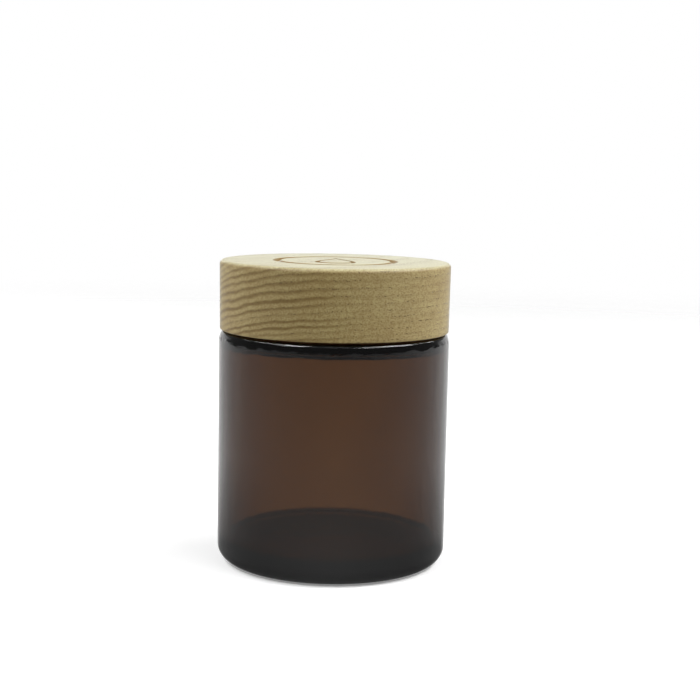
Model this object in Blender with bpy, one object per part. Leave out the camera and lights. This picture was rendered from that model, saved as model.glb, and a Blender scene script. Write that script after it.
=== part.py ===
"""Straight-sided screw-top candle jar of amber glass with a turned ash lid, at rest with the lid closed."""

import math

import bmesh
import bpy

MM = 0.001
SEGMENTS = 64

# Jar body. Heights are measured from the table the jar stands on.
JAR_RADIUS = 36.5 * MM
WALL = 2.8 * MM
FLOOR = 6.9 * MM
FLOOR_FILLET = 3.0 * MM
HEEL = 5.0 * MM
PUSH_UP_RADIUS = 24.5 * MM
PUSH_UP_DEPTH = 1.2 * MM
SHOULDER = 73.6 * MM
SHOULDER_ROUND = 2.0 * MM
SHOULDER_GLASS = 2.6 * MM
SHOULDER_FILLET = 3.0 * MM

# Neck finish, a 63 mm continuous thread.
NECK_RADIUS = 30.15 * MM
NECK_BORE = 27.7 * MM
NECK_HEIGHT = 10.4 * MM
RIM_ROUND = 1.0 * MM
PITCH = 25.4 / 6 * MM
JAR_THREAD_CREST = 31.25 * MM
JAR_THREAD_START = SHOULDER + 2.2 * MM
JAR_THREAD_TURNS = (0.0, 1.15)
THREAD_BITE = 0.4 * MM
FADE_STEPS = 4

# Wooden lid, turned flush with the jar.
LID_BOTTOM = SHOULDER + 0.4 * MM
LID_TOP = LID_BOTTOM + 21.8 * MM
LID_BOTTOM_RADIUS = 36.25 * MM
LID_TOP_RADIUS = 36.45 * MM
LID_ROUND = 1.3 * MM
LID_BORE = 33.3 * MM
LID_CEILING = SHOULDER + 14.8 * MM
GROOVE_RADIUS = 18.5 * MM
GROOVE_HALF_WIDTH = 1.4 * MM
CARVING_DEPTH = 0.8 * MM
DROP_HALF_LENGTH = 12.0 * MM
DROP_WIDTH = 13.0 * MM
DROP_LINE = 0.26

# Threaded plastic insert inside the lid.
INSERT_BOTTOM = SHOULDER + 1.0 * MM
INSERT_RADIUS = 32.9 * MM
INSERT_ROOT = 31.6 * MM
INSERT_THREAD_CREST = 30.5 * MM
INSERT_CEILING = SHOULDER + 12.5 * MM
INSERT_TOP = SHOULDER + 13.7 * MM
INSERT_THREAD_DROP = 1.77 * MM
INSERT_THREAD_TURNS = (0.42, 1.5)
BEAD_RADIUS = 30.95 * MM
BEAD_HEIGHT = SHOULDER + 10.05 * MM

# Sealing liner and the glue that holds the insert.
LINER_RADIUS = 31.2 * MM
LINER_BOTTOM = SHOULDER + 10.7 * MM
LINER_TOP = SHOULDER + 12.2 * MM
GLUE_INNER = 14.0 * MM
GLUE_OUTER = 24.0 * MM
GLUE_BOTTOM = SHOULDER + 14.0 * MM
GLUE_TOP = SHOULDER + 14.5 * MM


def clear_scene():
    for obj in list(bpy.data.objects):
        bpy.data.objects.remove(obj, do_unlink=True)


def material(name, colour, roughness):
    made = bpy.data.materials.new(name)
    made.use_nodes = True
    shader = made.node_tree.nodes["Principled BSDF"]
    shader.inputs["Base Color"].default_value = (*colour, 1.0)
    shader.inputs["Roughness"].default_value = roughness
    shader.inputs["Metallic"].default_value = 0.0
    return made


def add_object(name, points, faces, look=None):
    """An object from points and faces, with its normals turned outwards."""
    mesh = bpy.data.meshes.new(name)
    mesh.from_pydata(points, [], faces)
    shell = bmesh.new()
    shell.from_mesh(mesh)
    bmesh.ops.remove_doubles(shell, verts=shell.verts, dist=1e-6)
    bmesh.ops.recalc_face_normals(shell, faces=shell.faces)
    shell.to_mesh(mesh)
    shell.free()
    mesh.shade_smooth()
    mesh.set_sharp_from_angle(angle=math.radians(35))
    obj = bpy.data.objects.new(name, mesh)
    bpy.context.scene.collection.objects.link(obj)
    if look:
        mesh.materials.append(look)
    return obj


def arc(radius, height, size, start, end, steps):
    """Points of a round centred on (radius, height), with angles in degrees from the outward direction."""
    turns = [math.radians(start + (end - start) * i / steps) for i in range(steps + 1)]
    return [(radius + size * math.cos(a), height + size * math.sin(a)) for a in turns]


def lathe(name, profile, look):
    """Turns a closed (radius, height) profile about Z. A profile that starts and ends at radius 0 is a solid core."""
    points, rows = [], []
    for radius, height in profile:
        if radius == 0:
            rows.append([len(points)] * SEGMENTS)
            points.append((0.0, 0.0, height))
            continue
        rows.append(range(len(points), len(points) + SEGMENTS))
        for i in range(SEGMENTS):
            angle = math.tau * i / SEGMENTS
            points.append((radius * math.cos(angle), radius * math.sin(angle), height))
    faces = []
    for low, high in zip(rows, rows[1:] + rows[:1]):
        for i in range(SEGMENTS):
            j = (i + 1) % SEGMENTS
            corners = list(dict.fromkeys([low[i], low[j], high[j], high[i]]))
            if len(corners) > 2:
                faces.append(corners)
    return add_object(name, points, faces, look)


def helical_ridge(name, root, crest, half_root, half_crest, height, turns):
    """A right-hand thread ridge that starts inside the wall at its root radius and sinks back into it at both ends."""
    bite = math.copysign(THREAD_BITE, root - crest)
    first, last = (round(SEGMENTS * t) for t in turns)
    points = []
    for i in range(first, last + 1):
        angle = math.tau * i / SEGMENTS
        emerged = min(i - first, last - i, FADE_STEPS) / FADE_STEPS
        buried = root + 0.5 * bite
        tip = buried + (crest - buried) * emerged
        middle = height + PITCH * i / SEGMENTS
        section = [(root + bite, -half_root), (tip, -half_crest), (tip, half_crest), (root + bite, half_root)]
        for radius, offset in section:
            points.append((radius * math.cos(angle), radius * math.sin(angle), middle + offset))
    faces = [list(range(4)), list(range(len(points) - 4, len(points)))]
    for i in range(0, len(points) - 4, 4):
        for j in range(4):
            k = (j + 1) % 4
            faces.append([i + j, i + k, i + 4 + k, i + 4 + j])
    return add_object(name, points, faces)


def boolean(obj, helper, operation):
    """Joins or cuts with a helper, which stays hidden in the scene."""
    helper.hide_render = True
    helper.display_type = "WIRE"
    modifier = obj.modifiers.new(helper.name, "BOOLEAN")
    modifier.operation = operation
    modifier.object = helper
    modifier.solver = "EXACT"


def make_glass_jar():
    look = material("amber_glass", (0.13, 0.055, 0.02), 0.05)
    inner = JAR_RADIUS - WALL
    under = SHOULDER - SHOULDER_GLASS
    rim = SHOULDER + NECK_HEIGHT
    profile = [
        (0.0, PUSH_UP_DEPTH),
        (0.55 * PUSH_UP_RADIUS, 0.95 * PUSH_UP_DEPTH),
        (0.85 * PUSH_UP_RADIUS, 0.6 * PUSH_UP_DEPTH),
        (PUSH_UP_RADIUS, 0.0),
        *arc(JAR_RADIUS - HEEL, HEEL, HEEL, -90, 0, 6),
        *arc(JAR_RADIUS - SHOULDER_ROUND, SHOULDER - SHOULDER_ROUND, SHOULDER_ROUND, 0, 90, 4),
        (NECK_RADIUS + 0.8 * MM, SHOULDER),
        (NECK_RADIUS, SHOULDER + 0.8 * MM),
        *arc(NECK_RADIUS - RIM_ROUND, rim - RIM_ROUND, RIM_ROUND, 0, 90, 3),
        *arc(NECK_BORE + RIM_ROUND, rim - RIM_ROUND, RIM_ROUND, 90, 180, 3),
        *arc(NECK_BORE + 1.5 * MM, under + 1.5 * MM, 1.5 * MM, 180, 270, 3),
        *arc(inner - SHOULDER_FILLET, under - SHOULDER_FILLET, SHOULDER_FILLET, 90, 0, 4),
        *arc(inner - FLOOR_FILLET, FLOOR + FLOOR_FILLET, FLOOR_FILLET, 0, -90, 4),
        (0.0, FLOOR),
    ]
    jar = lathe("glass_jar", profile, look)
    ridge = helical_ridge(
        "jar_thread_ridge",
        NECK_RADIUS,
        JAR_THREAD_CREST,
        1.2 * MM,
        0.5 * MM,
        JAR_THREAD_START,
        JAR_THREAD_TURNS,
    )
    boolean(jar, ridge, "UNION")
    return jar


def drop_cutter():
    """A band that follows the outline of a plain drop, to engrave it in the middle of the lid."""
    count = 32
    points = []
    for height in (LID_TOP - CARVING_DEPTH, LID_TOP + 1.0 * MM):
        for grow in (1.0, 1.0 - DROP_LINE):
            for i in range(count):
                angle = math.tau * i / count
                across = DROP_WIDTH * math.sin(angle) * math.sin(angle / 2) ** 2 / 1.3
                points.append((grow * across, grow * DROP_HALF_LENGTH * math.cos(angle), height))
    faces = []
    for i in range(count):
        j = (i + 1) % count
        for row, next_row in ((0, 1), (1, 3), (3, 2), (2, 0)):
            a, b = row * count, next_row * count
            faces.append([a + i, a + j, b + j, b + i])
    return add_object("drop_cutter", points, faces)


def make_wooden_lid():
    look = material("ash_wood", (0.55, 0.42, 0.25), 0.6)
    profile = [
        (LID_BORE, LID_CEILING),
        (LID_BORE, LID_BOTTOM + 0.5 * MM),
        (LID_BORE + 0.5 * MM, LID_BOTTOM),
        (LID_BOTTOM_RADIUS - 0.3 * MM, LID_BOTTOM),
        (LID_BOTTOM_RADIUS, LID_BOTTOM + 0.3 * MM),
        *arc(LID_TOP_RADIUS - LID_ROUND, LID_TOP - LID_ROUND, LID_ROUND, 0, 90, 4),
        (GROOVE_RADIUS + GROOVE_HALF_WIDTH, LID_TOP),
        (GROOVE_RADIUS, LID_TOP - CARVING_DEPTH),
        (GROOVE_RADIUS - GROOVE_HALF_WIDTH, LID_TOP),
        (0.0, LID_TOP),
        (0.0, LID_CEILING),
    ]
    lid = lathe("wooden_lid", profile, look)
    boolean(lid, drop_cutter(), "DIFFERENCE")
    return lid


def make_threaded_insert():
    look = material("white_plastic", (0.75, 0.75, 0.72), 0.45)
    profile = [
        (0.0, INSERT_CEILING),
        (INSERT_ROOT, INSERT_CEILING),
        (INSERT_ROOT, BEAD_HEIGHT + 0.45 * MM),
        (BEAD_RADIUS, BEAD_HEIGHT + 0.15 * MM),
        (BEAD_RADIUS, BEAD_HEIGHT - 0.15 * MM),
        (INSERT_ROOT, BEAD_HEIGHT - 0.65 * MM),
        (INSERT_ROOT, INSERT_BOTTOM + 0.3 * MM),
        (INSERT_ROOT + 0.3 * MM, INSERT_BOTTOM),
        (INSERT_RADIUS, INSERT_BOTTOM),
        (INSERT_RADIUS, INSERT_TOP - 0.6 * MM),
        (INSERT_RADIUS - 0.6 * MM, INSERT_TOP),
        (0.0, INSERT_TOP),
    ]
    insert = lathe("threaded_insert", profile, look)
    ridge = helical_ridge(
        "insert_thread_ridge",
        INSERT_ROOT,
        INSERT_THREAD_CREST,
        1.0 * MM,
        0.5 * MM,
        JAR_THREAD_START - INSERT_THREAD_DROP,
        INSERT_THREAD_TURNS,
    )
    boolean(insert, ridge, "UNION")
    return insert


def make_liner():
    look = material("foam_liner", (0.85, 0.85, 0.83), 0.9)
    profile = [(0.0, LINER_BOTTOM), (LINER_RADIUS, LINER_BOTTOM), (LINER_RADIUS, LINER_TOP), (0.0, LINER_TOP)]
    return lathe("liner", profile, look)


def make_glue_ring():
    look = material("hot_glue", (0.8, 0.75, 0.6), 0.3)
    profile = [
        (GLUE_INNER, GLUE_BOTTOM),
        (GLUE_OUTER, GLUE_BOTTOM),
        (GLUE_OUTER, GLUE_TOP),
        (GLUE_INNER, GLUE_TOP),
    ]
    return lathe("glue_ring", profile, look)


def main():
    clear_scene()
    make_glass_jar()
    make_wooden_lid()
    make_threaded_insert()
    make_liner()
    make_glue_ring()


main()
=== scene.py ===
"""Looks for the empty candle jar: amber glass jar, turned ash lid, threaded insert, liner and glue."""

import math

import bmesh
import bpy
from mathutils import Matrix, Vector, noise


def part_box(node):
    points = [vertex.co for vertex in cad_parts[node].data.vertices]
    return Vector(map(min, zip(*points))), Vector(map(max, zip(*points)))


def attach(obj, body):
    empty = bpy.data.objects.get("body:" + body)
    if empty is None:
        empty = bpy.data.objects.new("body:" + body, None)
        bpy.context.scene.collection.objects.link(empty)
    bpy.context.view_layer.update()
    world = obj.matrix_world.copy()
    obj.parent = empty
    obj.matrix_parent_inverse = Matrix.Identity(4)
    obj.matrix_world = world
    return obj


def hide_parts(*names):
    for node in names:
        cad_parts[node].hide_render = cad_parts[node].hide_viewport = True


MM = 0.001
HAIR = 0.01 * MM

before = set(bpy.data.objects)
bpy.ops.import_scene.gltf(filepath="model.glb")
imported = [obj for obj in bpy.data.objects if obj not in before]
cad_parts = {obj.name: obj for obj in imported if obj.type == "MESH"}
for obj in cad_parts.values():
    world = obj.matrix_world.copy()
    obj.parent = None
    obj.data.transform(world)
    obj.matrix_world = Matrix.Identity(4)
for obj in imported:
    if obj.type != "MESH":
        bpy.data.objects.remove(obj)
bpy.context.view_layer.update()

JAR_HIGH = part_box("glass_jar")[1]
LID_LOW, LID_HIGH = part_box("wooden_lid")
INSERT_LOW, INSERT_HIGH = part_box("threaded_insert")
LINER_LOW, LINER_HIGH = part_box("liner")
GLUE_LOW, GLUE_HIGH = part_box("glue_ring")

# Jar: the boxes give its outer sizes, and the rest is the same as in the CAD.
JAR_RADIUS = JAR_HIGH[0]
RIM = JAR_HIGH[2]
NECK_HEIGHT = 10.4 * MM
SHOULDER = RIM - NECK_HEIGHT
WALL = 2.8 * MM
INNER_RADIUS = JAR_RADIUS - WALL
FLOOR = 6.9 * MM
HEEL = 5 * MM
PUSH_UP_RADIUS, PUSH_UP_DEPTH = 24.5 * MM, 1.2 * MM
SHOULDER_GLASS = 2.6 * MM
SHOULDER_FILLET = 3 * MM
THROAT_ROUND = 1.5 * MM
NECK_RADIUS = 30.15 * MM
NECK_BORE = 27.7 * MM
RIM_ROUND = 1 * MM
PITCH = 25.4 / 6 * MM
JAR_THREAD_START, JAR_THREAD_TURNS, JAR_THREAD_DEPTH = SHOULDER + 2.2 * MM, (0.0, 1.15), 1.1 * MM

# Jar: what only the looks have, or have in another size than the CAD. The outside of the glass may
# stand back between SUNK_FROM and CORNER, and the shoulder's round starts at SHOULDER_START degrees.
FOOT_ROUND = 1.8 * MM
SHOULDER_ROUND = 1.6 * MM
SHOULDER_INSET = 0.34 * MM
SHOULDER_START = 9.3
SUNK_FROM = SHOULDER - 6 * MM
CORNER = SHOULDER - 1.34 * MM

# Both threads: the part of a turn in which a thread fades out at each end.
THREAD_FADE = 0.06

LID_BOTTOM, LID_TOP = LID_LOW[2], LID_HIGH[2]
LID_RADIUS = LID_HIGH[0]
LID_CEILING = SHOULDER + 14.8 * MM
LID_BORE = 33.3 * MM
LID_ROUND, LID_LOW_ROUND, LID_TAPER = 1.3 * MM, 0.35 * MM, 0.2 * MM
CARVING_DEPTH = 0.8 * MM
GROOVE_RADIUS = 18.5 * MM
DROP_WIDTH, DROP_HALF_LENGTH = 13 * MM, 12 * MM

INSERT_ROOT = 31.6 * MM
INSERT_CEILING = SHOULDER + 12.5 * MM
INSERT_BEAD, INSERT_BEAD_RADIUS = SHOULDER + 10.05 * MM, 30.95 * MM
INSERT_THREAD_START, INSERT_THREAD_TURNS, INSERT_THREAD_DEPTH = SHOULDER + 0.43 * MM, (0.42, 1.5), 1.1 * MM
INSERT_RIBS, RIB_DEPTH = 72, 0.25 * MM

GLUE_INNER, GLUE_OUTER = 15.2 * MM, 22.9 * MM

# The wood's grain runs along the first direction. They are level, and about a unit long.
GRAIN, ACROSS_GRAIN = (-0.66, -0.75, 0.0), (0.75, -0.66, 0.0)

# Colours of the wood and of what lies in it, tints that darken its side and its end grain, and the
# colour that the glass lets through.
PALE_WOOD, WARM_WOOD, YEAR_LINE = (0.67, 0.64, 0.40), (0.61, 0.555, 0.325), (0.29, 0.225, 0.085)
FIBRE, STREAK, FLECK = (0.36, 0.27, 0.125), (0.46, 0.39, 0.21), (0.30, 0.21, 0.09)
# The engraving's colour is its burnt brown together with painted shade for its grooves.
PORE, BURNT_AND_SHADED = (0.13, 0.08, 0.025), (0.25, 0.155, 0.038)
SIDE_TINT, END_GRAIN_TINT = (0.70, 0.59, 0.41), (0.86, 0.84, 0.78)
AMBER = (0.517, 0.35, 0.115)

# How bright the surroundings are: what gloss and glass show, then what lights matte surfaces.
FRONT_LIGHT, NEAR_LIGHT, BACK_LIGHT, UNDER_LIGHT, ROOM_LIGHT = 0.33, 0.62, 0.97, 0.12, 0.14
SOFT_FRONT, SOFT_BACK, SOFT_TOP = 0.03, 1.3, 0.03

# Each side has a wide dim light and a smaller bright one, which show as a streak on the shoulder. A weak
# light stands in front, and a low one behind on the left brightens that edge of the wood.
# Name, azimuth and elevation in degrees, width and height in metres, power in watts, seen in gloss.
LIGHTS = (
    ("left_core", -44, 45, (0.35, 0.28), 2.2, True),
    ("left_soft", -88, 50, (1.2, 0.32), 4.2, True),
    ("right_core", 80, 45, (0.52, 0.28), 3.0, True),
    ("right_soft", 82, 48, (1.7, 0.32), 7.4, True),
    ("front_soft", -3, 45, (0.95, 0.25), 0.55, True),
    ("left_rim", -128, 12, (0.8, 0.3), 2.2, False),
)


# ---------------------------------------------------------------- geometry


def arc(radius, height, size, start, end, steps):
    """Points of a round centred on (radius, height). Its angles are degrees from the outward direction."""
    turns = [math.radians(start + (end - start) * i / steps) for i in range(steps + 1)]
    return [(radius + size * math.cos(a), height + size * math.sin(a)) for a in turns]


def run(start, end, spacing):
    """Evenly spaced points between two profile points, both left out."""
    length = math.hypot(end[0] - start[0], end[1] - start[1])
    count = max(1, round(length / spacing))
    return [
        (start[0] + (end[0] - start[0]) * i / count, start[1] + (end[1] - start[1]) * i / count)
        for i in range(1, count)
    ]


def turned(name, profile, segments, shape=None):
    """Turns a closed (radius, height) profile about Z.

    shape(radius, height, angle) may give a point a new radius and height.
    """
    points, rows = [], []
    for radius, height in profile:
        if radius == 0:
            rows.append([len(points)] * segments)
            points.append((0.0, 0.0, height))
            continue
        rows.append(range(len(points), len(points) + segments))
        for i in range(segments):
            angle = math.tau * i / segments
            r, z = shape(radius, height, angle) if shape else (radius, height)
            points.append((r * math.cos(angle), r * math.sin(angle), z))
    faces = []
    for low, high in zip(rows, rows[1:] + rows[:1]):
        for i in range(segments):
            j = (i + 1) % segments
            corners = list(dict.fromkeys([low[i], low[j], high[j], high[i]]))
            if len(corners) > 2:
                faces.append(corners)
    return new_object(name, points, faces)


def new_object(name, points, faces):
    mesh = bpy.data.meshes.new(name)
    mesh.from_pydata(points, [], faces)
    shell = bmesh.new()
    shell.from_mesh(mesh)
    bmesh.ops.recalc_face_normals(shell, faces=shell.faces)
    shell.to_mesh(mesh)
    shell.free()
    obj = bpy.data.objects.new(name, mesh)
    bpy.context.scene.collection.objects.link(obj)
    smooth(obj, 35)
    return obj


def smooth(obj, degrees):
    obj.data.shade_smooth()
    obj.data.set_sharp_from_angle(angle=math.radians(degrees))


def ease(x):
    x = min(max(x, 0.0), 1.0)
    return x * x * (3 - 2 * x)


def thread_height(height, angle, start, turns, half_root, half_crest):
    """How much of a thread ridge, 0 to 1, stands at this height and angle."""
    tallest = 0.0
    for whole in range(3):
        along = angle / math.tau + whole
        if turns[0] <= along <= turns[1]:
            ends = min(along - turns[0], turns[1] - along) / THREAD_FADE
            away = abs(height - start - PITCH * along)
            tallest = max(tallest, ease(ends) * ease((half_root - away) / (half_root - half_crest)))
    return tallest


def around(angle, lumps, third):
    """Noise that closes on itself round the axis. More lumps make it finer."""
    return noise.noise((lumps * math.cos(angle), lumps * math.sin(angle), third))


def lean_in(height, angle):
    """How far the outside of the glass stands back just below the shoulder, with a ragged lower edge."""
    start = SHOULDER - (2.9 + 0.8 * around(angle, 1.8, 5.0) + 1.4 * around(angle, 13, 1.0)) * MM
    start = min(start, SHOULDER - 2.1 * MM)
    lean = max(0.0, height - start) / (CORNER - start)
    ripple = around(angle, 7, height / (0.5 * MM))
    ripple *= ease((height - SHOULDER + 5 * MM) / MM) * ease((SHOULDER - 1.5 * MM - height) / MM)
    return max(0.0, (0.36 * lean**1.2 + 0.05 * ripple) * MM)


def jar_shape(radius, height, angle):
    """The moulded thread, the uneven shoulder, and the slight waves of blown glass on the inside."""
    if radius > NECK_RADIUS - HAIR and SHOULDER + 0.7 * MM < height < RIM - 0.9 * MM:
        ridge = thread_height(height, angle, JAR_THREAD_START, JAR_THREAD_TURNS, 1.25 * MM, 0.45 * MM)
        return radius + JAR_THREAD_DEPTH * ridge, height
    if radius > JAR_RADIUS - HAIR and height > SUNK_FROM:
        return radius - lean_in(height, angle), height
    if FLOOR < height < SHOULDER - SHOULDER_GLASS and radius < INNER_RADIUS + HAIR:
        near_top = ease((height - SHOULDER + 7 * MM) / (2 * MM))
        wave = 0.14 * around(angle, 2.6, height / (30 * MM))
        wave += 0.06 * near_top * around(angle, 9, height / (2.5 * MM))
        return radius + MM * wave, height
    return radius, height


def make_jar():
    """The glass, from the middle of its underside up the outside, over the rim and down the inside."""
    under = SHOULDER - SHOULDER_GLASS
    push_up = [(PUSH_UP_RADIUS * i / 12, PUSH_UP_DEPTH * (1 - (i / 12) ** 2.4)) for i in range(13)]
    heel = arc(JAR_RADIUS - HEEL, HEEL, HEEL, -90, 0, 16)
    upper = (JAR_RADIUS, SUNK_FROM)
    corner = (JAR_RADIUS, CORNER)
    shoulder_middle = JAR_RADIUS - SHOULDER_ROUND - SHOULDER_INSET
    shoulder = arc(shoulder_middle, SHOULDER - SHOULDER_ROUND, SHOULDER_ROUND, SHOULDER_START, 90, 14)
    neck_foot = arc(NECK_RADIUS + 0.8 * MM, SHOULDER + 0.8 * MM, 0.8 * MM, -90, -180, 6)
    rim_out = arc(NECK_RADIUS - RIM_ROUND, RIM - RIM_ROUND, RIM_ROUND, 0, 90, 8)
    rim_in = arc(NECK_BORE + RIM_ROUND, RIM - RIM_ROUND, RIM_ROUND, 90, 180, 8)
    throat = arc(NECK_BORE + THROAT_ROUND, under + THROAT_ROUND, THROAT_ROUND, 180, 270, 8)
    fillet = arc(INNER_RADIUS - SHOULDER_FILLET, under - SHOULDER_FILLET, SHOULDER_FILLET, 90, 0, 12)
    foot = arc(INNER_RADIUS - FOOT_ROUND, FLOOR + FOOT_ROUND, FOOT_ROUND, 0, -90, 12)
    profile = [
        *push_up,
        *heel,
        *run(heel[-1], upper, 6 * MM),
        upper,
        *run(upper, corner, 0.15 * MM),
        *shoulder,
        *neck_foot,
        *run(neck_foot[-1], rim_out[0], 0.16 * MM),
        *rim_out,
        *rim_in,
        *throat,
        *fillet,
        *run(fillet[-1], foot[0], 3 * MM),
        *foot,
        (0.5 * INNER_RADIUS, FLOOR),
        (0.0, FLOOR),
    ]
    return turned("glass_jar_fine", profile, 456, jar_shape)


def drop_cutter():
    """A V-shaped band along the outline of a plain drop, to engrave it in the middle of the lid."""
    count = 96
    middle, bottom_half, top_half = 0.87, 0.04, 0.13
    widest = 1.3
    levels = (
        (LID_TOP - CARVING_DEPTH, bottom_half),
        (LID_TOP, top_half),
        (LID_TOP + 0.5 * MM, top_half),
    )
    points = []
    for height, half in levels:
        for grow in (middle + half, middle - half):
            for i in range(count):
                angle = math.tau * i / count
                across = DROP_WIDTH * math.sin(angle) * math.sin(angle / 2) ** 2 / widest
                points.append((grow * across, grow * DROP_HALF_LENGTH * math.cos(angle), height))
    faces = []
    for i in range(count):
        j = (i + 1) % count
        for row, next_row in ((0, 2), (2, 4), (4, 5), (5, 3), (3, 1), (1, 0)):
            a, b = row * count, next_row * count
            faces.append([a + i, a + j, b + j, b + i])
    return new_object("drop_cutter", points, faces)


def make_lid():
    """The turned lid: its bore, its outside, the hollow groove in its top and the engraved drop."""
    edge = arc(LID_RADIUS - LID_ROUND, LID_TOP - LID_ROUND, LID_ROUND, 0, 90, 10)
    low_radius = LID_RADIUS - LID_TAPER - LID_LOW_ROUND
    low_edge = arc(low_radius, LID_BOTTOM + LID_LOW_ROUND, LID_LOW_ROUND, -90, 0, 6)
    # Distances from the groove's middle, and depths: a flat ring that keeps the shading clean, the lip,
    # the top of the wall and the bottom.
    half_groove = ((1.7, 0.0), (1.4, 0.0), (1.25, 0.07), (0.3, CARVING_DEPTH / MM))
    groove = [(GROOVE_RADIUS + away * MM, LID_TOP - deep * MM) for away, deep in half_groove]
    groove += [(GROOVE_RADIUS - away * MM, LID_TOP - deep * MM) for away, deep in reversed(half_groove)]
    profile = [
        (0.0, LID_CEILING),
        (16 * MM, LID_CEILING),
        (LID_BORE - 0.3 * MM, LID_CEILING),
        (LID_BORE, LID_CEILING - 0.3 * MM),
        (LID_BORE, LID_BOTTOM + 0.5 * MM),
        (LID_BORE + 0.5 * MM, LID_BOTTOM),
        *low_edge,
        *run(low_edge[-1], edge[0], 2.5 * MM),
        *edge,
        (28 * MM, LID_TOP),
        *groove,
        (0.0, LID_TOP),
    ]
    lid = turned("wooden_lid_fine", profile, 256)
    cutter = drop_cutter()
    cut = lid.modifiers.new("carving", "BOOLEAN")
    cut.operation = "DIFFERENCE"
    cut.object = cutter
    cut.solver = "EXACT"
    graph = bpy.context.evaluated_depsgraph_get()
    carved = bpy.data.meshes.new_from_object(lid.evaluated_get(graph))
    lid.modifiers.clear()
    lid.data = carved
    bpy.data.objects.remove(cutter, do_unlink=True)
    smooth(lid, 30)
    return lid


def insert_shape(radius, height, angle):
    """The thread inside the insert, and the shallow ribs outside that grip the wood."""
    if abs(radius - INSERT_ROOT) < HAIR and INSERT_LOW[2] + 0.4 * MM < height < SHOULDER + 9.2 * MM:
        ridge = thread_height(height, angle, INSERT_THREAD_START, INSERT_THREAD_TURNS, 1.05 * MM, 0.45 * MM)
        return radius - INSERT_THREAD_DEPTH * ridge, height
    if radius > INSERT_HIGH[0] - 0.1 * MM:
        return radius - RIB_DEPTH * ease(0.5 + 0.9 * math.cos(INSERT_RIBS * angle)), height
    return radius, height


def make_insert():
    """The plastic cap inside the lid, with a bead above its thread that holds the liner in."""
    low, top = INSERT_LOW[2], INSERT_HIGH[2]
    root, outer = INSERT_ROOT, INSERT_HIGH[0]
    edge, top_edge = 0.3 * MM, 0.6 * MM
    under_bead, thread_end = (root, INSERT_BEAD - 0.65 * MM), (root, low + edge)
    profile = [
        (0.0, INSERT_CEILING),
        (root - edge, INSERT_CEILING),
        (root, INSERT_CEILING - edge),
        (root, INSERT_BEAD + 0.45 * MM),
        (INSERT_BEAD_RADIUS, INSERT_BEAD + 0.15 * MM),
        (INSERT_BEAD_RADIUS, INSERT_BEAD - 0.15 * MM),
        under_bead,
        *run(under_bead, thread_end, 0.2 * MM),
        thread_end,
        (root + edge, low),
        (outer - edge, low),
        (outer, low + edge),
        (outer, top - top_edge),
        (outer - top_edge, top),
        (0.0, top),
    ]
    return turned("threaded_insert_fine", profile, 432, insert_shape)


def make_liner():
    """A foam disc with soft edges."""
    low, top, radius = LINER_LOW[2], LINER_HIGH[2], LINER_HIGH[0]
    edge = 0.25 * MM
    profile = [
        (0.0, low),
        (20 * MM, low),
        *arc(radius - edge, low + edge, edge, -90, 0, 4),
        *arc(radius - edge, top - edge, edge, 0, 90, 4),
        (20 * MM, top),
        (0.0, top),
    ]
    return turned("liner_fine", profile, 128)


def make_glue():
    """A bead of glue squeezed flat, with an uneven edge."""
    low, top = GLUE_LOW[2], GLUE_HIGH[2]
    middle, round_edge = (low + top) / 2, (top - low) / 2

    def squeezed(radius, height, angle):
        return radius + 0.8 * MM * around(angle, 1.7, radius / (10 * MM)), height

    profile = [
        *arc(GLUE_INNER, middle, round_edge, 270, 90, 6),
        *arc(GLUE_OUTER, middle, round_edge, 90, -90, 6),
    ]
    return turned("glue_ring_fine", profile, 128, squeezed)


# ---------------------------------------------------------------- materials


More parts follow.
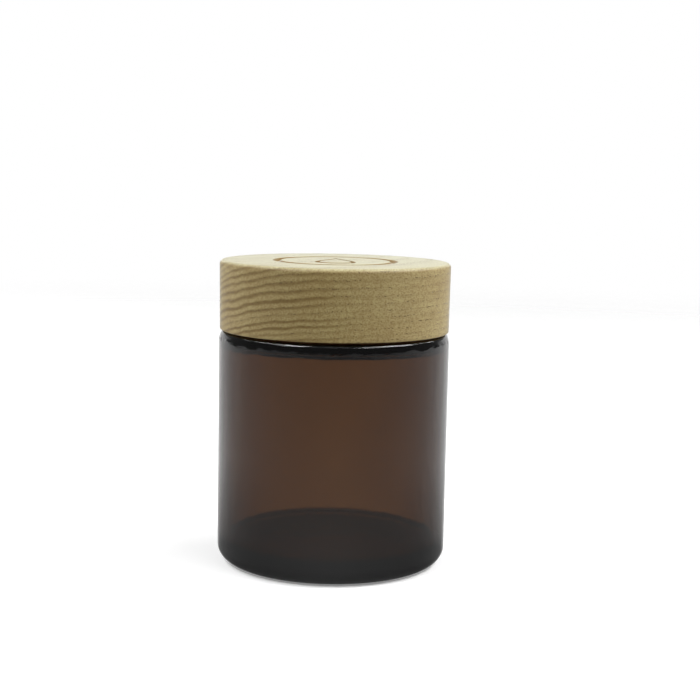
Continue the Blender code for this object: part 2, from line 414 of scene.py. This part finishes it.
class Nodes:
    """A short way to write a material's node tree."""

    def __init__(self, name):
        self.material = bpy.data.materials.new(name)
        self.material.use_nodes = True
        self.tree = self.material.node_tree
        self.shader = self.tree.nodes["Principled BSDF"]
        self.output = self.tree.nodes["Material Output"]

    def add(self, kind, settings=None, **inputs):
        node = self.tree.nodes.new(kind)
        for key, value in (settings or {}).items():
            setattr(node, key, value)
        for key, value in inputs.items():
            self.put(node, key.replace("_", " "), value)
        return node

    def put(self, node, key, value):
        """Sets or links an input, which is given by its name, or by i and its number."""
        socket = node.inputs[int(key[1:])] if key[0] == "i" and key[1:].isdigit() else node.inputs[key]
        if isinstance(value, bpy.types.NodeSocket):
            self.tree.links.new(value, socket)
        else:
            socket.default_value = value

    def math(self, operation, a, b=0.0):
        return self.add("ShaderNodeMath", {"operation": operation}, i0=a, i1=b).outputs[0]

    def vector_math(self, operation, a, b=(0, 0, 0)):
        node = self.add("ShaderNodeVectorMath", {"operation": operation}, i0=a, i1=b)
        return node.outputs["Value" if operation in ("DOT_PRODUCT", "LENGTH") else "Vector"]

    def noise(self, vector, scale, detail=2.0, roughness=0.5):
        """Noise from 0 to 1. In a vector in millimetres, a lump is about 1 / scale across."""
        node = self.add(
            "ShaderNodeTexNoise", Vector=vector, Scale=scale, Detail=detail, Roughness=roughness
        )
        return node.outputs["Fac"]

    def mix(self, factor, a, b, blend="MIX"):
        node = self.add("ShaderNodeMix", {"data_type": "RGBA", "blend_type": blend})
        for key, value in ((0, factor), (6, a), (7, b)):
            if isinstance(value, bpy.types.NodeSocket):
                self.tree.links.new(value, node.inputs[key])
            else:
                node.inputs[key].default_value = value if key == 0 else (*value, 1.0)
        return node.outputs[2]

    def between(self, value, low, high):
        """0 below low, 1 above high, smooth between."""
        node = self.add(
            "ShaderNodeMapRange", {"interpolation_type": "SMOOTHSTEP"}, Value=value, i1=low, i2=high
        )
        return node.outputs[0]

    def below(self, value, low, high):
        """1 below low, 0 above high, smooth between."""
        return self.math("SUBTRACT", 1.0, self.between(value, low, high))

    def waver(self, value, noise, size):
        """The value, moved up and down by a noise."""
        moved = self.math("MULTIPLY", self.math("SUBTRACT", noise, 0.5), size)
        return self.math("ADD", value, moved)

    def lay(self, colour, other, mask, strength, blend="MIX"):
        """The colour with another laid over it where the mask is 1."""
        return self.mix(self.math("MULTIPLY", mask, strength), colour, other, blend)

    def millimetres(self):
        """Object coordinates in millimetres."""
        coordinates = self.add("ShaderNodeTexCoord").outputs["Object"]
        return self.vector_math("MULTIPLY", coordinates, (1000, 1000, 1000))

    def split(self, vector):
        return self.add("ShaderNodeSeparateXYZ", Vector=vector).outputs

    def join(self, x, y, z):
        return self.add("ShaderNodeCombineXYZ", X=x, Y=y, Z=z).outputs[0]

    def bump(self, height, strength, distance):
        node = self.add("ShaderNodeBump", Height=height, Strength=strength, Distance=distance)
        self.tree.links.new(node.outputs[0], self.shader.inputs["Normal"])

    def set(self, **values):
        for key, value in values.items():
            self.put(self.shader, key.replace("_", " "), value)


def amber_glass():
    """Clear glass that soaks up light as it goes through, slightly wavy, with a few dull specks."""
    m = Nodes("amber_glass")
    place = m.millimetres()
    x, y, z = m.split(place)[:3]
    stretched = m.join(x, y, m.math("MULTIPLY", z, 0.25))
    waves = m.noise(stretched, 0.16, 2.0)
    specks = m.between(m.noise(place, 1.3, 1.0), 0.74, 0.8)
    m.set(
        Base_Color=(1.0, 1.0, 1.0, 1.0),
        Roughness=m.math("MULTIPLY", specks, 0.1),
        IOR=1.52,
        Transmission_Weight=1.0,
    )
    m.bump(waves, 0.25, 0.4 * MM)
    absorption = m.add("ShaderNodeVolumeAbsorption", Color=(*AMBER, 1.0), Density=1000.0)
    m.tree.links.new(absorption.outputs[0], m.output.inputs["Volume"])
    return m.material


def ash_wood():
    """Flat-sawn ash: growth layers slope through the lid, and pores and fibres run along the grain."""
    m = Nodes("ash_wood")
    place = m.millimetres()
    x, y, z = m.split(place)[:3]
    along = m.vector_math("DOT_PRODUCT", place, GRAIN)
    across = m.vector_math("DOT_PRODUCT", place, ACROSS_GRAIN)

    def grained(shrink, third):
        """Coordinates in which a shape comes out 1 / shrink times as long along the grain."""
        return m.join(m.math("MULTIPLY", along, shrink), across, third)

    # Height above the layer surface, which slopes across the board and twists a little.
    slope = m.vector_math("DOT_PRODUCT", place, (0.1416, -0.125, 0.0))
    slope = m.math("ADD", slope, m.math("MULTIPLY", m.math("MULTIPLY", x, y), 0.00242))
    height = m.math("SUBTRACT", z, slope)
    layers = grained(0.25, height)
    height = m.waver(height, m.noise(layers, 0.07, 2.0), 2.2)
    height = m.waver(height, m.noise(layers, 0.32, 3.0), 0.9)

    # The years are about 2 mm thick, thinner and thicker in turn. A year's dark line is at whole phases.
    swing = m.math("SINE", m.math("MULTIPLY", m.math("SUBTRACT", height, 72.0), math.tau / 26))
    phase = m.math("MULTIPLY", m.math("SUBTRACT", height, 70.8), 0.49)
    phase = m.math("ADD", phase, m.math("MULTIPLY", swing, 0.28))
    ring = m.math("FRACT", phase)
    line = m.math("ADD", m.below(ring, 0.0, 0.36), m.between(ring, 0.55, 1.0))
    year = m.add("ShaderNodeTexWhiteNoise", {"noise_dimensions": "1D"}, W=m.math("ROUND", phase))

    # End grain shows the layers more strongly and is darker than the long grain.
    normal = m.add("ShaderNodeTexCoord").outputs["Normal"]
    facing = m.math("ABSOLUTE", m.vector_math("DOT_PRODUCT", normal, GRAIN))
    end_grain = m.between(facing, 0.5, 1.0)
    side = m.below(m.split(normal)[2], 0.3, 0.95)

    patchy = m.noise(grained(0.3, height), 0.22, 2.0)
    varied = m.math("ADD", patchy, m.math("MULTIPLY", year.outputs["Value"], 0.9))
    contrast = m.math("MULTIPLY", m.math("ADD", 0.15, m.math("MULTIPLY", end_grain, 0.75)), varied)
    drift = m.noise(grained(0.2, z), 0.09, 2.0)
    colour = m.mix(m.between(drift, 0.3, 0.75), PALE_WOOD, WARM_WOOD)
    colour = m.lay(colour, YEAR_LINE, line, contrast)

    # Fibres and pores lie along the grain: streaks on the long grain, dots on the end grain.
    fibres = m.noise(grained(0.05, z), 2.6, 4.0, 0.65)
    colour = m.lay(colour, FIBRE, m.between(fibres, 0.45, 0.7), 0.45)
    streaks = m.noise(grained(0.05, m.math("MULTIPLY", z, 0.4)), 0.8, 3.0)
    colour = m.lay(colour, STREAK, m.between(streaks, 0.42, 0.66), 0.35)
    flecks = m.noise(grained(0.7, z), 2.1, 2.0, 0.7)
    colour = m.lay(colour, FLECK, m.between(flecks, 0.46, 0.60), 0.52)
    vessels = m.add("ShaderNodeTexVoronoi", Vector=grained(0.3, height), Scale=2.1, Randomness=1.0)
    early = m.below(ring, 0.12, 0.3)
    pores = m.math("MULTIPLY", m.below(vessels.outputs["Distance"], 0.24, 0.42), early)
    colour = m.lay(colour, PORE, pores, 0.7)

    colour = m.mix(side, colour, SIDE_TINT, "MULTIPLY")
    colour = m.lay(colour, END_GRAIN_TINT, end_grain, 0.3, "MULTIPLY")

    # The engraved lines are browned by burning, and their colour also holds painted shade for the grooves.
    top, ceiling = LID_TOP / MM, LID_CEILING / MM
    groove_lip = GROOVE_RADIUS / MM + 1.45
    sunk = m.below(z, top - 0.09, top - 0.005)
    inside = m.below(m.vector_math("LENGTH", m.join(x, y, 0.0)), groove_lip, groove_lip + 0.25)
    above = m.between(z, ceiling + 1, ceiling + 2)
    engraved = m.math("MULTIPLY", m.math("MULTIPLY", sunk, inside), above)
    colour = m.mix(engraved, colour, BURNT_AND_SHADED)

    m.set(
        Base_Color=colour,
        Roughness=m.math("ADD", 0.42, m.math("MULTIPLY", fibres, 0.2)),
        IOR=1.5,
        Sheen_Weight=0.75,
        Sheen_Roughness=0.2,
        Sheen_Tint=(0.95, 1.0, 1.0, 1.0),
    )
    relief = m.math("SUBTRACT", m.math("MULTIPLY", fibres, 0.3), pores)
    m.bump(relief, 0.5, 0.1 * MM)
    return m.material


def plain_plastic(name, colour, roughness, grain, depth):
    """A moulded or foamed surface with a fine grain and a slight drift of tone.

    grain is the grain's noise scale per millimetre, and depth is its height.
    """
    m = Nodes(name)
    place = m.millimetres()
    drift = m.noise(place, 0.12, 3.0)
    texture = m.noise(place, grain, 3.0, 0.6)
    darker = tuple(0.86 * c for c in colour)
    m.set(
        Base_Color=m.mix(m.between(drift, 0.35, 0.7), darker, colour),
        Roughness=m.math("ADD", roughness - 0.05, m.math("MULTIPLY", texture, 0.1)),
    )
    m.bump(texture, 0.4, depth)
    return m.material


def floor_material():
    """A pale matte floor that fades into the white all round."""
    m = Nodes("studio_floor")
    m.set(
        Base_Color=(0.93, 0.93, 0.93, 1.0),
        Roughness=0.8,
        Specular_IOR_Level=0.0,
        Emission_Color=(1.0, 1.0, 1.0, 1.0),
        Emission_Strength=0.22,
    )
    away = m.vector_math("LENGTH", m.add("ShaderNodeTexCoord").outputs["Object"])
    clear = m.add("ShaderNodeBsdfTransparent").outputs[0]
    fade = m.between(away, 0.35, 1.1)
    surface = m.add("ShaderNodeMixShader", i0=fade, i1=m.shader.outputs[0], i2=clear)
    m.tree.links.new(surface.outputs[0], m.output.inputs["Surface"])
    return m.material


# ---------------------------------------------------------------- scene


def dress(obj, material, body, node):
    """Gives a piece its material, lets it stand for its CAD node and makes it ride on its body."""
    obj.data.materials.clear()
    obj.data.materials.append(material)
    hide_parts(node)
    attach(obj, body)


def make_camera():
    """The main view: from the front, a little above the lid, tilted down and rolled slightly."""
    pitch, roll = math.radians(90) - 0.13, 0.0197
    camera = bpy.data.objects.new("camera", bpy.data.cameras.new("camera"))
    bpy.context.scene.collection.objects.link(camera)
    camera.data.sensor_width = 36.0
    camera.data.lens = 74.17
    camera.data.clip_start = 0.01
    camera.matrix_world = (
        Matrix.Translation((5.1 * MM, -455.44 * MM, 126.98 * MM))
        @ Matrix.Rotation(pitch, 4, "X")
        @ Matrix.Rotation(roll, 4, "Z")
    )
    bpy.context.scene.camera = camera


def make_light(name, azimuth, elevation, size, power, in_gloss):
    """An area light that faces the jar. Azimuth 0 is the front and 90 the right."""
    distance, aim = 0.9, (0, 0, 60 * MM)
    light = bpy.data.lights.new(name, "AREA")
    light.shape = "RECTANGLE"
    light.size, light.size_y = size
    light.energy = power
    obj = bpy.data.objects.new(name, light)
    bpy.context.scene.collection.objects.link(obj)
    obj.matrix_world = (
        Matrix.Translation(aim)
        @ Matrix.Rotation(math.radians(azimuth), 4, "Z")
        @ Matrix.Rotation(math.radians(90 - elevation), 4, "X")
        @ Matrix.Translation((0, 0, distance))
    )
    obj.visible_transmission = False
    obj.visible_glossy = in_gloss


def make_world():
    """White all round for the camera. The light it gives is brightest from behind and dimmest in front."""
    world = bpy.data.worlds.new("studio")
    bpy.context.scene.world = world
    world.use_nodes = True
    tree = world.node_tree
    background = tree.nodes["Background"]

    def put(node, sockets):
        for index, value in sockets.items():
            if isinstance(value, bpy.types.NodeSocket):
                tree.links.new(value, node.inputs[index])
            else:
                node.inputs[index].default_value = value
        return node.outputs[0]

    def span(value, low, high, start, end):
        return put(tree.nodes.new("ShaderNodeMapRange"), {0: value, 1: low, 2: high, 3: start, 4: end})

    def mix(factor, a, b):
        return put(tree.nodes.new("ShaderNodeMix"), {0: factor, 2: a, 3: b})

    def math_node(operation, a, b=0.0):
        node = tree.nodes.new("ShaderNodeMath")
        node.operation = operation
        return put(node, {0: a, 1: b})

    way = tree.nodes.new("ShaderNodeSeparateXYZ")
    put(way, {0: tree.nodes.new("ShaderNodeTexCoord").outputs["Generated"]})
    x, y, z = way.outputs
    rays = tree.nodes.new("ShaderNodeLightPath").outputs

    # The table in front, brighter near the jar.
    front = span(z, -0.13, -0.27, FRONT_LIGHT, NEAR_LIGHT)
    # The table behind, dimmer at the sides and dark under the jar. Its backdrop dims above 11 degrees.
    off_centre = span(math_node("ABSOLUTE", x), 0.1, 0.45, 0.0, 1.0)
    beside = mix(off_centre, 1.0, span(z, -0.205, -0.27, 1.0, 0.25))
    behind = math_node("MULTIPLY", beside, span(z, -0.28, -0.58, BACK_LIGHT, UNDER_LIGHT))
    behind = math_node("MULTIPLY", behind, span(z, 0.19, 0.26, 1.0, 0.2))
    table = mix(span(y, -1.0, 1.0, 0.0, 1.0), front, behind)
    # A gloss also shows the room above the table, which is dark except for the backdrop.
    room = math_node("MULTIPLY", span(z, 0.0, 0.04, 0.0, 1.0), span(y, 0.55, 0.8, 1.0, 0.0))
    room = math_node("MULTIPLY", room, rays["Is Glossy Ray"])
    sharp = mix(room, table, ROOM_LIGHT)
    # Matte surfaces are lit mostly from behind.
    level = span(y, -0.9, 0.4, SOFT_FRONT, SOFT_BACK)
    soft = mix(span(z, -0.1, 0.8, 0.0, 1.0), level, SOFT_TOP)
    light = mix(rays["Is Diffuse Ray"], sharp, soft)
    put(background, {1: mix(rays["Is Camera Ray"], light, 1.0)})
    background.inputs["Color"].default_value = (1.0, 1.0, 1.0, 1.0)


def make_floor():
    size = 1.2
    floor = new_object(
        "studio_floor",
        [(-size, -size, 0), (size, -size, 0), (size, size, 0), (-size, size, 0)],
        [(0, 1, 2, 3)],
    )
    floor.data.materials.append(floor_material())
    floor.location.z = -0.05 * MM
    floor.visible_glossy = False
    floor.visible_diffuse = False
    floor.visible_transmission = False


def main():
    white = plain_plastic("white_plastic", (0.80, 0.80, 0.77), 0.42, 9.0, 0.02 * MM)
    foam = plain_plastic("foam_liner", (0.86, 0.86, 0.84), 0.9, 4.0, 0.08 * MM)
    glue = plain_plastic("hot_glue", (0.82, 0.76, 0.58), 0.3, 1.0, 0.05 * MM)
    dress(make_jar(), amber_glass(), "jar", "glass_jar")
    dress(make_lid(), ash_wood(), "lid", "wooden_lid")
    dress(make_insert(), white, "lid", "threaded_insert")
    dress(make_liner(), foam, "liner", "liner")
    dress(make_glue(), glue, "lid", "glue_ring")
    make_camera()
    make_world()
    make_floor()
    for light in LIGHTS:
        make_light(*light)
    view = bpy.context.scene.view_settings
    view.view_transform = "Standard"
    view.look = "None"


main()
